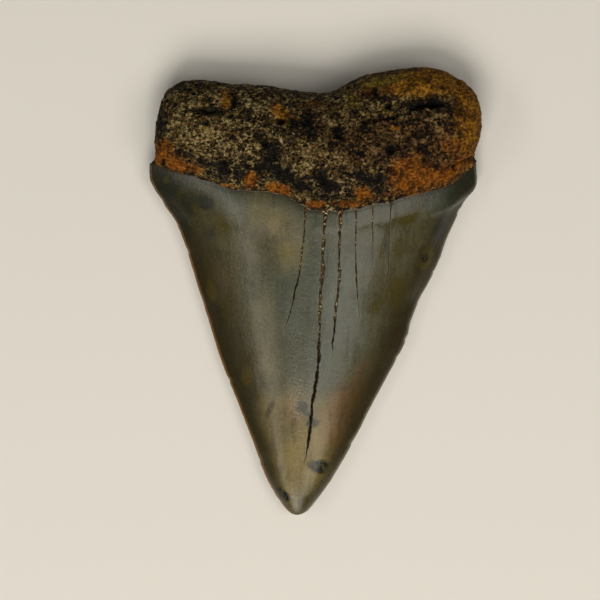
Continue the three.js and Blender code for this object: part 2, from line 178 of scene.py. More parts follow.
# Marks in the colour: (x, y, half width, half height, turn in degrees, strength).
# The lists from OCHRE to RUSSET are on the root, and the rest are on the crown.
OCHRE = [
    (16.5, 55.3, 6.8, 1.9, 3, 1), (22, 51.6, 1.9, 5.6, -4, 1), (20.3, 55.1, 2.2, 1.7, -30, 1),
    (22.4, 47.3, 1.3, 2.6, 0, 0.9), (13.2, 53.9, 2.4, 0.9, 0, 0.6), (-8.9, 52.5, 0.7, 1.4, 0, 0.65),
    (12.3, 49.2, 0.8, 0.3, 0, 0.8), (2.5, 52.3, 1.3, 0.5, 0, 0.5), (-4.4, 53.2, 1.2, 0.5, 0, 0.4),
    (-2, 51, 0.8, 1.5, 40, 1), (-0.2, 50.2, 0.6, 0.4, 0, 0.6),
]
RUST = [
    (14.6, 43.0, 2.9, 2.4, 8, 1), (18.7, 43.4, 2.6, 1.1, 24, 1), (21.2, 45, 1.3, 0.8, 30, 0.8),
    (-17.1, 46.3, 1.6, 1.5, -40, 1), (-15.3, 44.9, 1.8, 1, -30, 1), (-13, 44.2, 1.2, 0.6, -22, 0.8),
    (-5.8, 42.7, 0.9, 1, -20, 1), (-2.3, 41.4, 1.7, 0.7, -14, 1), (-8.6, 42, 1.5, 0.25, -12, 0.6),
    (-2.4, 52.2, 0.6, 0.7, 0, 0.5), (2.3, 39.6, 1.4, 0.5, 0, 0.8), (6.3, 39.6, 2, 0.45, 0, 0.8),
    (8.4, 40.8, 1.2, 0.9, -20, 0.9), (9.1, 53.9, 0.9, 0.9, 0, 0.6), (19.6, 46.6, 2.6, 1.6, 0, 0.5),
    (-9.3, 53.8, 0.6, 0.4, 0, 0.6), (11.6, 40.9, 1.2, 0.4, 14, 0.7),
]
YELLOW = [
    (10.7, 55.4, 3.2, 1, 12, 0.9), (-11.2, 54.6, 1.8, 0.6, 10, 0.6), (7.1, 52.5, 1.2, 1.5, 30, 0.6),
    (11.6, 51.3, 1.2, 0.7, 20, 0.6), (-11.7, 49, 0.9, 0.6, 0, 0.5), (0, 47.4, 0.8, 0.5, 0, 0.6),
    (-5, 47.4, 0.5, 0.7, 0, 0.5), (-14.5, 53, 1.6, 0.7, 0, 0.4),
]
PEAT = [
    (-11.3, 51.3, 1.4, 0.5, 0, 1), (-11.5, 49.8, 0.6, 0.4, 0, 0.8), (-7.9, 52.6, 0.4, 1, 0, 0.9),
    (-9.4, 44, 1.2, 1, -10, 1), (-7.2, 43.9, 1.1, 0.8, 10, 0.9), (-4.3, 47.5, 0.7, 1, 30, 0.8),
    (-3.2, 46, 1, 1.4, -15, 1), (-3.9, 44.4, 1, 0.9, 20, 1), (-1.5, 43.2, 1.6, 0.9, -25, 1),
    (-0.4, 49.7, 0.6, 0.9, 20, 0.8), (1.3, 50, 0.8, 1, -20, 1), (1.9, 48.6, 0.9, 0.7, 30, 0.8),
    (5.4, 48.3, 0.7, 1, 20, 1), (4.4, 47, 0.5, 0.5, 0, 0.6), (2.9, 42.9, 0.9, 0.8, 30, 1),
    (4.2, 41.7, 1, 0.7, 0, 1), (8, 43.1, 1.2, 0.6, -15, 1), (10, 42.8, 1.1, 0.7, 15, 0.9),
    (11.9, 46.5, 0.7, 0.6, 0, 0.9), (13.4, 45.6, 0.6, 0.4, 0, 0.6), (15.2, 52, 1.1, 0.6, 12, 1),
    (17.3, 52.4, 1.2, 0.8, -5, 1), (19.3, 51.8, 0.7, 0.5, 20, 0.8), (20.8, 51.2, 0.6, 0.6, 0, 0.8),
    (19.9, 49.8, 0.8, 0.4, 0, 0.6), (-17.2, 49.7, 0.8, 1.8, 0, 0.8),
    (-14.2, 46, 1.2, 0.5, -25, 0.7), (-11.6, 44.9, 1, 0.6, -15, 0.8), (4.2, 40.4, 1.4, 0.4, 0, 0.7),
    (17.7, 44.3, 0.5, 0.5, 0, 0.8), (9.9, 41.4, 1, 0.6, 0, 0.6), (0.6, 41.9, 1.3, 0.6, -15, 0.8),
    (14.2, 50.1, 1.8, 0.3, 12, 0.6), (8.4, 48.8, 0.8, 0.5, 0, 0.5), (-13.5, 54.6, 1.5, 0.5, 0, 0.4),
    (-5.9, 50.8, 0.5, 0.5, 0, 0.4), (7.4, 46, 0.6, 0.5, 0, 0.5), (15.8, 48.4, 0.8, 0.4, 0, 0.4),
    (-10.6, 46.7, 0.5, 0.4, 0, 0.4), (16, 46.6, 0.9, 0.5, -20, 0.5),
]
KHAKI = [
    (-10.6, 48.0, 5.0, 3.0, -6, 1), (1.3, 44.9, 2.4, 1.8, 0, 0.7), (-11.6, 52.7, 2.6, 1.6, 0, 0.8),
    (4.6, 46, 1.9, 1.8, 0, 0.6), (-4.4, 50.2, 1.6, 1.6, 0, 0.5), (11.5, 53.2, 1.6, 0.9, 10, 0.6),
    (15.4, 50.8, 2.6, 0.8, 10, 0.4), (-3.5, 53.4, 3, 1, 0, 0.5), (4.2, 51.2, 1.6, 1.6, 0, 0.6),
    (-7.6, 45.6, 1.6, 1.4, 0, 0.7),
]
RUSSET = [
    (14, 47.5, 8.5, 3.6, 0, 1), (9.5, 53.4, 3, 2, 0, 0.7), (18.5, 45.5, 4, 3, 0, 0.8),
    (1.8, 51.5, 2.4, 2.2, 0, 0.5), (6, 42.5, 3, 2.5, 0, 0.4),
]
OLIVE = [
    (15, 39, 0.5, 1.5, -38, 1.6), (13.9, 37.7, 0.9, 0.5, 20, 1.4), (13, 34.2, 0.5, 1.1, -5, 1.5),
    (10.9, 32.6, 0.28, 1.6, 8, 1), (6.1, 36, 0.35, 0.8, 0, 1), (14.6, 34.8, 1.2, 2, -10, 0.3),
    (12.6, 28.6, 1.8, 2.4, -15, 0.7), (16.6, 32.9, 0.6, 1.2, -20, 1.5),
    (9.7, 26.5, 0.7, 0.6, 30, 1.5), (-6, 20.2, 0.75, 1.3, 8, 0.8), (-6.3, 17.9, 0.6, 1.1, -8, 1.2),
    (-3.5, 13.6, 0.3, 1, -25, 1.1), (-16, 44, 0.5, 0.4, 20, 1.3), (-15.2, 43.3, 0.5, 0.4, 0, 1.3),
    (-16.7, 42.8, 0.4, 0.4, 0, 1.1), (-12.8, 39.2, 0.6, 1, 30, 0.5), (-9.4, 36.6, 0.7, 2, 20, 0.9),
    (-8, 32.2, 1, 2, 12, 0.5), (0.9, 1.7, 0.55, 0.8, -20, 1), (-11, 29, 0.6, 1.4, 15, 0.8),
    (-9, 26.2, 0.8, 2.2, 18, 0.5), (2.6, 5.4, 0.8, 1, -20, 0.5),
]
DARK_OLIVE = [
    (-16.6, 42.3, 3, 2, 30, 1), (-18, 43.8, 1.3, 1.4, 0, 1), (-13.8, 40.2, 1.8, 1.8, 40, 0.8),
    (-15.2, 38, 1.1, 2.4, 24, 0.9), (22, 43, 1.5, 2.2, -10, 0.9), (20.4, 41, 1.6, 2, -30, 0.7),
    (18.6, 37.2, 1, 3, -24, 0.6), (-10.6, 36.4, 1.4, 1.2, 30, 0.5), (-12.2, 39.9, 1.7, 1, -15, 0.9),
    (-10.6, 38.6, 1.6, 1, -10, 0.4),
]
UMBER = [
    (-11.9, 25.8, 1.1, 4.8, 17, 1), (-13, 31.4, 1.1, 5.1, 15, 0.9), (-10, 20.6, 1, 4.2, 21, 0.9),
    (-14.6, 36.2, 1, 3.1, 22, 0.7), (-7.6, 14.6, 0.8, 3.8, 22, 0.8), (-5.6, 9.4, 0.7, 3.2, 21, 0.6),
    (-10.2, 33, 1.6, 2.4, 12, 0.5), (12.3, 22.4, 1.5, 2.5, -25, 0.8),
    (13.6, 27.5, 1.8, 3.8, -18, 0.6), (7.8, 10.3, 0.9, 2.5, -28, 0.6),
    (4.9, 7.4, 0.7, 1.8, -28, 0.4), (11.2, 17.4, 0.9, 3.1, -28, 0.6),
    (18.2, 38.4, 1.5, 1.8, -20, 0.5), (16.2, 31.6, 1.4, 2.6, -14, 0.8), (-6, 19, 1.4, 3, 12, 0.35),
    (-6, 20, 0.7, 1.3, 8, 1.2), (-6.3, 17.9, 0.5, 1, -8, 0.8), (16.3, 33.3, 0.9, 1.1, 0, 1),
    (9.4, 26.4, 0.5, 0.5, 0, 0.8), (-14.4, 40.9, 0.5, 0.4, 30, 0.8), (-16.2, 43.4, 0.4, 0.4, 0, 1),
]
SOOT = [
    (-1.6, 2.5, 0.7, 0.5, -40, 1.6), (-2.3, 3.2, 0.5, 0.35, -40, 1.2), (2.9, 6.3, 1, 0.7, 3, 1.6),
    (2, 6.5, 0.8, 0.6, 0, 0.9), (3.1, 5.8, 0.6, 0.4, 0, 1.3), (16.3, 32.9, 0.5, 0.6, 0, 1.1),
    (9.5, 31.5, 0.4, 0.35, 0, 0.5), (-13.6, 37.4, 0.3, 0.4, 0, 0.7),
    (-12.6, 30.6, 0.35, 0.5, 0, 0.7), (-3.8, 13.4, 0.25, 0.5, -30, 0.5),
    (19.8, 42.2, 0.6, 0.4, 0, 0.4), (-6.1, 20.6, 0.35, 0.45, 0, 0.6), (4.2, 24.2, 0.2, 0.3, 0, 0.3),
    (-17.3, 41.3, 0.4, 0.5, 30, 0.7),
]
SLATE = [(0.7, 13.9, 0.55, 0.8, 15, 1.3), (1.9, 11.9, 0.8, 0.6, 0, 1), (1.3, 13, 0.5, 0.6, 30, 0.8)]
BLUE_GREY = [
    (1.7, 28.8, 5.3, 10.4, 0, 0.9), (-8.5, 40.4, 3.4, 1.6, -15, 0.8), (18.2, 40.9, 4.2, 2, 18, 0.9),
    (0.4, 37.7, 7.4, 2.4, -8, 0.6), (6.1, 35.2, 4.3, 4.8, 0, 0.6), (21.4, 41.6, 1.6, 2.2, -10, 0.9),
]
TAN = [
    (6.3, 12.6, 2.2, 3.6, -20, 1), (-0.6, 12.4, 1.6, 2.4, 0, 0.7), (8.2, 17.5, 1.8, 3, -20, 0.4),
    (-7.2, 20.5, 1.2, 3.4, 16, 0.4), (-9.6, 29.4, 1.8, 4, 14, 0.4),
]
# Pale cream, partly the tip's own colour and partly painted sheen: down the left side and low on the
# right where the lamps' sheens fall, and at the tip.
CREAM_AND_SHEEN = [
    (-0.9, 8.4, 2.9, 5.3, -8, 1), (2, 8.8, 2.6, 4.4, -12, 0.9), (0.3, 3.4, 1.6, 1.8, 0, 0.55),
    (-4.2, 23.7, 2.2, 9.9, 6, 0.35), (-4.5, 36.5, 2.2, 6.6, 0, 0.4), (-2, 35, 2.4, 3.2, 0, 0.7),
    (-2.7, 10, 1.5, 4, 18, 1), (-4.9, 15.6, 1.4, 3.6, 18, 0.25), (4.4, 14, 2.6, 6.7, -12, 0.2),
    (6.1, 9.7, 2, 3.6, -22, 0.2), (-6.8, 39.6, 3, 1.5, -12, 0.25),
]


def between(a, b, share):
    return a + (b - a) * share


def ease(x, low, high):
    share = np.clip((x - low) / (high - low), 0, 1)
    return share * share * (3 - 2 * share)


def bell(distance, spread):
    return np.exp(-((distance / spread) ** 2))


def smooth_line(points):
    """A centripetal curve through the points. It gives the places at shares of its length."""
    p = np.array(points, float)
    p = np.vstack([2 * p[0] - p[1], p, 2 * p[-1] - p[-2]])
    gap = np.linalg.norm(np.diff(p, axis=0), axis=1) ** 0.5
    t = np.linspace(0, 1, 33)[:-1, None]
    stretches = []
    for k in range(1, len(p) - 2):
        d0, d1, d2 = gap[k - 1 : k + 2]
        before, here, there, after = p[k - 1 : k + 3]
        step = (there - here) / d1
        leave = ((here - before) / d0 - (there - before) / (d0 + d1) + step) * d1
        arrive = (step - (after - here) / (d1 + d2) + (after - there) / d2) * d1
        bend = 3 * (there - here) - 2 * leave - arrive
        twist = 2 * (here - there) + leave + arrive
        stretches.append(here + leave * t + bend * t**2 + twist * t**3)
    line = np.vstack([*stretches, p[-2]])
    length = np.r_[0, np.cumsum(np.linalg.norm(np.diff(line, axis=0), axis=1))]

    def place(share):
        along = np.clip(share, 0, 1) * length[-1]
        return np.stack([np.interp(along, length, line[:, k]) for k in (0, 1)], -1)

    return place


left_edge, right_edge = smooth_line(LEFT_EDGE), smooth_line(RIGHT_EDGE)
root_left, root_right = smooth_line(ROOT_LEFT), smooth_line(ROOT_RIGHT)
root_top = smooth_line(ROOT_TOP)
necks = {"lingual": smooth_line(LINGUAL_NECK), "labial": smooth_line(LABIAL_NECK)}
fine_shares = np.linspace(0, 1, 2000)
left_most = float(min(line(fine_shares)[:, 0].min() for line in (left_edge, root_left)))


def bow(line, across):
    """How far a curve stands off the straight line between its ends."""
    return line(across) - between(line(0.0), line(1.0), across[..., None])


# Nicks in the cutting edges: (-1 left or 1 right, millimetres from the tip, half length, depth).
NICKS = [
    (1, 24.6, 1.1, 0.12), (1, 22.6, 0.35, 0.18), (1, 20.2, 0.3, 0.12), (1, 31.2, 0.3, 0.1),
    (-1, 17.3, 0.3, 0.1), (-1, 33.8, 0.4, 0.12), (1, 9.2, 0.25, 0.1), (-1, 7.1, 0.25, 0.08),
    (1, 38.9, 0.4, 0.14), (-1, 40.4, 0.5, 0.12),
]


def worn_edge(y, side):
    """How far a cutting edge is worn back, in millimetres: a fine waver and a few small nicks."""
    waver = [noise.fractal((0.9 * v, side * 7.3, 0.4), 0.8, 2.1, 4) for v in y.ravel()]
    wear = (0.05 + 0.05 * np.array(waver)).reshape(y.shape)
    for nick_side, at, half, depth in NICKS:
        if nick_side == side:
            wear = wear + depth * bell(y - at, half)
    return np.clip(wear, 0, None) * ease(y, 0.3, 3)


# The enamel's ragged end, as shares across the neck and millimetres.
RAGGED_SHARES = np.linspace(0, 1, 400)
RAGGED = [0.2 * noise.fractal((34 * share, 0.3, 5.1), 0.7, 2.1, 3) for share in RAGGED_SHARES]


def neck_waver(across):
    """The ragged line of the enamel's end, in millimetres towards the root."""
    to_ends = np.clip(8 * np.minimum(across, 1 - across), 0, 1)
    return np.interp(across, RAGGED_SHARES, RAGGED) * to_ends


def crown_plan(side, across, up):
    chord = between(left_edge(up), right_edge(up), across[..., None])
    place = chord + bow(necks[side], across) * up[..., None] ** 3
    if side == "lingual":
        place[..., 1] += neck_waver(across) * bell(1 - up, 0.02)
    return place


def blade_height(up):
    """Height of the cutting edges."""
    to_tip = (TIP_HEIGHT - BLADE_HEIGHT) * (1 - up) ** 4
    to_shoulder = (SHOULDER_HEIGHT - BLADE_HEIGHT) * up**6
    return BLADE_HEIGHT + to_tip + to_shoulder


def curl(up):
    """How far the crown's middle line curls up from the table."""
    return -FLAT_DIP + (TIP_HEIGHT + FLAT_DIP) * np.clip(1 - up / CURL_SHARE, 0, None) ** 2


def crown_height(side, off, up):
    """Height of the crown's faces. off runs from -1 at the left edge to 1 at the right one."""
    edge = blade_height(up)
    if side == "labial":
        return np.maximum(0, edge - (edge - curl(up)) * (1 - np.abs(off) ** FLAT_POWER))
    crest = curl(up) + CROWN_THICKNESS * np.sqrt(up)
    groove = NECK_GROOVE * ease(up, 1 - NECK_GROOVE_SHARE, 1)
    blunt = 2 + TIP_BLUNTNESS * np.clip(1 - up / BLUNT_SHARE, 0, 1)
    dome = np.clip(1 - np.abs(off) ** blunt, 0, 1) ** LENS_POWER
    return edge + (crest - edge) * dome - groove * (1 - off**6)


def root_plan(side, across, up):
    level = up[..., None]
    chord = between(root_left(up), root_right(up), across[..., None])
    place = chord + bow(necks[side], across) * (1 - level) + bow(root_top, across) * level
    if side == "lingual":
        place[..., 1] += neck_waver(across) * bell(up, 0.06)
    return place


def round_off(up, share, power):
    return np.sqrt(np.clip(1 - np.clip((up - share) / (1 - share), 0, None) ** power, 0, 1))


def lumps(x, y):
    return 0.2 * np.sin(1.9 * x + 1.3 * np.sin(y)) * np.sin(1.9 * y + 1.2 * np.sin(0.8 * x))


def swellings(x, y):
    raised = [rise * bell(np.hypot(x - cx, y - cy), radius) for cx, cy, radius, rise in SWELLINGS]
    return lumps(x, y) + sum(raised)


def root_height(side, off, up, place):
    edge = between(SHOULDER_HEIGHT, ROOT_SIDE_HEIGHT, ease(up, 0, 0.25))
    ends = np.sqrt(np.clip(1 - np.abs(off) ** LOBE_END_POWER, 0, 1))
    climb = 1 - (1 - np.clip(up / NECK_RISE, 0, 1)) ** 2.2
    neck = crown_height(side, off, np.ones_like(up))
    x, y = place[..., 0], place[..., 1]
    if side == "labial":
        hollow = LABIAL_HOLLOW * bell(off, 0.3) * ease(up, 0.1, 0.5)
        step = FOOT_STEP * ease(up, 0, 0.03) * (1 - ease(up, 0.08, 0.35))
        face = edge - (edge - hollow) * ends * round_off(up, 0.62, 2.4)
        rough = lumps(x, y) * ends * (1 - up**8) * ease(up, 0.1, 0.3)
        return np.maximum(0, between(neck, face, climb) + step * ends + rough)
    crest = LOBE_THICKNESS + (ROOT_THICKNESS - LOBE_THICKNESS) * bell(off, CREST_SPREAD)
    sag = 1 - 0.1 * np.clip(1 - up / CREST_SHARE, 0, None) ** 2
    dome = edge + (crest - edge) * ends * sag * round_off(up, CREST_SHARE, 2.2)
    return between(neck, dome, climb) + swellings(x, y) * ends * (1 - up**8) * ease(up, 0, 0.2)


def crown_point(side, across, up):
    place = crown_plan(side, across, up)
    span = np.linalg.norm(right_edge(up) - left_edge(up), axis=-1)
    left_wear = worn_edge(place[..., 1], -1) * bell(across * span, EDGE_BAND)
    right_wear = worn_edge(place[..., 1], 1) * bell((1 - across) * span, EDGE_BAND)
    place[..., 0] += left_wear - right_wear
    return np.concatenate([place, crown_height(side, 2 * across - 1, up)[..., None]], -1)


def root_point(side, across, up):
    place = root_plan(side, across, up)
    return np.concatenate([place, root_height(side, 2 * across - 1, up, place)[..., None]], -1)


def even_shares(path, count):
    """Shares that part a path into that many equal lengths."""
    fine = (1 - np.cos(np.linspace(0, math.pi, 1201))) / 2
    length = np.r_[0, np.cumsum(np.linalg.norm(np.diff(path(fine), axis=0), axis=1))]
    return np.interp(np.linspace(0, length[-1], count + 1), length, fine)


# How fine the skin is: rows and columns of points, and the millimetres between the crown's columns.
CROWN_ROWS, CROWN_GAP, LABIAL_CROWN_COLUMNS = 150, 0.4, 44
ROOT_ROWS, ROOT_COLUMNS, LABIAL_ROOT_COLUMNS = 140, 360, 110

# Rows over the crown, with some of their own for the groove at the neck, and over the root.
crown_up = np.sort(np.r_[
    even_shares(lambda s: crown_point("lingual", np.full_like(s, 0.51), s), CROWN_ROWS),
    1 - NECK_GROOVE_SHARE * np.array([0.85, 0.7, 0.5, 0.35, 0.2, 0.1]),
])
root_up = even_shares(lambda s: root_point("lingual", np.full_like(s, 0.5), s), ROOT_ROWS)


def crack_path(crack, number):
    """Share across the crown at which a crack passes each row, its half width and depth there, how
    open it is and how full of mineral."""
    track = np.array(crack["track"])
    y = np.linspace(track[0, 1], track[-1, 1], 300)
    jag = np.array([noise.fractal((1.1 * v, 5.7 * number, 2.2), 0.7, 2.2, 3) for v in y])
    x = np.interp(y, track[:, 1], track[:, 0]) + jag * min(0.12, 1.2 * crack["half_width"])
    low, high = np.zeros_like(crown_up), np.ones_like(crown_up)
    # The share is found by halving the span again and again.
    for _ in range(24):
        middle = (low + high) / 2
        place = crown_plan("lingual", middle, crown_up)
        left = place[:, 0] < np.interp(place[:, 1], y, x)
        low, high = np.where(left, middle, low), np.where(left, high, middle)
    reach = place[:, 1] - y[0]
    low[reach < 0] = low[np.argmax(reach >= 0)]
    above = np.clip(y[-1] - place[:, 1], 0, None)
    # It gapes unevenly, and it opens where it runs into the root.
    waver = [noise.fractal((1.7 * v, 3.1 * number, 7.7), 0.6, 2.2, 3) for v in place[:, 1]]
    gape = 1 + 0.8 * np.array(waver)
    half_width = crack["half_width"] * np.clip(gape, 0.4, 1.8) * (1 + 1.5 * bell(above, 0.7))
    half_width *= 0.35 + 0.65 * ease(reach, 0, 7)
    fade = ease(reach, 0, 4)
    crystals = (reach > 0) * (1 - ease(above, 0.55 * crack["crystals"], crack["crystals"] + 0.01))
    return dict(
        share=low, half_width=half_width, depth=crack["depth"] * fade, open=crack["open"] * fade,
        crystals=crystals, present=reach > 0,
    )


def plain_columns(low, high, span, first, last):
    """Columns of sound enamel between two cracks."""
    count = max(2, round(float((high - low)[-1] * span[-1] / CROWN_GAP)))
    shares = np.linspace(0, 1, count + 1)[(0 if first else 1) : (None if last else -1)]
    plain = np.zeros_like(low)
    return [(between(low, high, share), plain, plain, plain) for share in shares]


# A crack's section: how far out each column runs, in half widths, and its share of the depth.
CRACK_SECTION = [
    (-2, 0), (-1, 0), (-0.7, 0.6), (-0.35, 0.92), (0, 1), (0.35, 0.92), (0.7, 0.6), (1, 0), (2, 0),
]
WIDEST_LIP = 0.011  # the most that a crack's half width may be, as a share of the crown's width


def crown_columns():
    """Shares, groove depths, openness and mineral for every row of the lingual crown. The columns
    run with the cracks."""
    span = np.maximum(np.linalg.norm(right_edge(crown_up) - left_edge(crown_up), axis=-1), 1e-3)
    plain = np.zeros_like(crown_up)
    columns = []
    before, clear = plain, plain
    for number, crack in enumerate(CRACKS):
        path = crack_path(crack, number)
        lip = np.minimum(path["half_width"] / span, WIDEST_LIP)
        # Where a crack has ended, its columns keep clear of the one on their left.
        clear_of_it = np.maximum(path["share"], before + clear + 3 * lip)
        share = np.where(path["present"], path["share"], clear_of_it)
        sound = (before + clear, share - 2 * lip)
        columns += plain_columns(*sound, span, first=number == 0, last=False)
        for step, sunk in CRACK_SECTION:
            inside = abs(step) < 2
            groove = (path["depth"] * sunk, path["open"] * inside, path["crystals"] * inside)
            columns.append((share + step * lip, *groove))
        before, clear = share, 2 * lip
    columns += plain_columns(before + clear, np.ones_like(crown_up), span, first=False, last=True)
    return [np.stack(values, 1) for values in zip(*columns)]


def sew(lower, upper, lower_shares, upper_shares):
    """Faces between two rows of points: squares where the rows match, otherwise triangles."""
    if len(lower) == len(upper):
        return np.stack([lower[:-1], lower[1:], upper[1:], upper[:-1]], 1).tolist()
    faces, i, j = [], 0, 0
    while i < len(lower) - 1 or j < len(upper) - 1:
        lower_left = i < len(lower) - 1
        ahead = j == len(upper) - 1 or (lower_left and lower_shares[i + 1] <= upper_shares[j + 1])
        faces.append([lower[i], lower[i + 1] if ahead else upper[j + 1], upper[j]])
        i, j = (i + 1, j) if ahead else (i, j + 1)
    return faces


def tooth_skin():
    """The tooth's points and faces, with what each point needs to know of where it is."""
    points, facts, crown_faces, root_faces = [], [], [], []

    def add_points(xyz, *known):
        start = sum(map(len, points))
        points.append(xyz)
        facts.append(np.stack([np.broadcast_to(k, len(xyz)).astype(float) for k in known], 1))
        return np.arange(start, start + len(xyz))

    across, depth, opened, mineral = crown_columns()
    lingual = crown_point("lingual", across, np.broadcast_to(crown_up[:, None], across.shape))
    fill = np.array([[noise.noise(4.2 * Vector(p)) for p in row] for row in lingual])
    filled = mineral * ease(fill, -0.35, 0.25)
    lingual[..., 2] -= depth * (1 - 0.75 * filled)

    # Facts: 1 on the root, 1 on the lingual face, across, up, how open a crack is, mineral in it.
    tip = add_points(lingual[0, :1], 0, 1, 0.5, 0, 0, 0)
    crown = [tip]
    for r in range(1, len(crown_up)):
        crown.append(add_points(lingual[r], 0, 1, across[r], crown_up[r], opened[r], filled[r]))
    for r in range(1, len(crown)):
        crown_faces += sew(crown[r - 1], crown[r], across[r - 1], across[r])

    columns = even_shares(lambda s: root_point("lingual", s, np.full_like(s, 0.45)), ROOT_COLUMNS)
    root = [crown[-1]]
    for up in root_up[1:]:
        row = root_point("lingual", columns, np.full_like(columns, up))
        root.append(add_points(row, 1, 1, columns, up, 0, 0))
    shares = [across[-1]] + [columns] * ROOT_ROWS
    for r in range(1, len(root)):
        root_faces += sew(root[r - 1], root[r], shares[r - 1], shares[r])

    # The labial face shares the cutting edges, the sides of the root and the line along its top.
    flat = np.linspace(0, 1, LABIAL_CROWN_COLUMNS + 1)
    under = [tip]
    for r in range(1, len(crown_up)):
        xyz = crown_point("labial", flat, np.full_like(flat, crown_up[r]))[1:-1]
        middle = add_points(xyz, 0, 0, flat[1:-1], crown_up[r], 0, 0)
        under.append(np.r_[crown[r][0], middle, crown[r][-1]])
        crown_faces += [face[::-1] for face in sew(under[-2], under[-1], flat, flat)]
    coarse = even_shares(
        lambda s: root_point("labial", s, np.full_like(s, 0.5)), LABIAL_ROOT_COLUMNS
    )
    base = [under[-1]]
    for r in range(1, len(root)):
        if r < len(root) - 1:
            xyz = root_point("labial", coarse, np.full_like(coarse, root_up[r]))[1:-1]
            middle = add_points(xyz, 1, 0, coarse[1:-1], root_up[r], 0, 0)
            base.append(np.r_[root[r][0], middle, root[r][-1]])
        else:
            base.append(root[-1])
        lower, upper = (flat if r == 1 else coarse), (columns if r == len(root) - 1 else coarse)
        root_faces += [face[::-1] for face in sew(base[-2], base[-1], lower, upper)]
    return np.vstack(points), np.vstack(facts), crown_faces, root_faces


def sew_mesh(name, points, faces):
    mesh = bpy.data.meshes.new(name)
    mesh.from_pydata(points.tolist(), [], faces)
    mesh.update()
    return mesh


def marks(places, spots, reach=1.0):
    """How strongly a set of marks colours each place, fading out from the middle of each."""
    x, y = places[:, 0], places[:, 1]
    strongest = np.zeros(len(places))
    for cx, cy, half_width, half_height, turn, strength in spots:
        a = math.radians(turn)
        u = ((x - cx) * math.cos(a) + (y - cy) * math.sin(a)) / (half_width * reach)
        v = ((y - cy) * math.cos(a) - (x - cx) * math.sin(a)) / (half_height * reach)
        strongest = np.maximum(strongest, strength * np.clip(1.25 - 0.75 * np.hypot(u, v), 0, 1))
    return strongest


def gap_to(places, points):
    """Distance in plan from each place to a line of points."""
    line = smooth_line(points)(np.linspace(0, 1, 40))
    return np.min(np.hypot(places[:, None, 0] - line[:, 0], places[:, None, 1] - line[:, 1]), axis=1)


def root_relief(places, up, lingual):
    """Height to add to the root's skin for its spongy grain, pores, creases and holes. Then how far
    each place stands up as grain, and how deep it lies in a crease or a hole."""
    grain, pores, worn = np.empty((3, len(places)))
    for i, p in enumerate(places):
        p = Vector(p)
        # Grains of about 0.45 mm drawn out into short threads, pores in cells of 0.9 mm, and wear.
        swirl = Vector((p.x * 2.1, p.y * 1.6, p.z * 1.8))
        grain[i] = noise.fractal(swirl, 0.65, 2.0, 3)
        worn[i] = noise.fractal(0.55 * p, 0.6, 2.0, 2)
        near, where = noise.voronoi(p * 1.1)
        open_pore = noise.cell(where[0] * 7.0) > -0.1
        pores[i] = max(0, 1 - (near[0] / 0.3) ** 2) if open_pore else 0
    height = 0.1 * grain - 0.22 * pores + 0.12 * worn
    hollow = np.zeros(len(places))
    for depth, half_width, points in CREASES:
        hollow += depth * bell(gap_to(places, points) + 0.06 * grain, half_width)
    for x, y, radius, depth in HOLES:
        gone = np.hypot(places[:, 0] - x, places[:, 1] - y) / radius
        hollow += depth * (1 - ease(gone + 0.15 * grain, 0.45, 1.2))
    hollow *= lingual > 0.5
    return (height - hollow) * ease(up, 0, 0.02), grain - 1.2 * pores, hollow


# Where the crown is this wide or wider, the enamel's dark borders, its own olive-brown with painted
# shade, are at their broadest.
WIDE_CROWN = 20


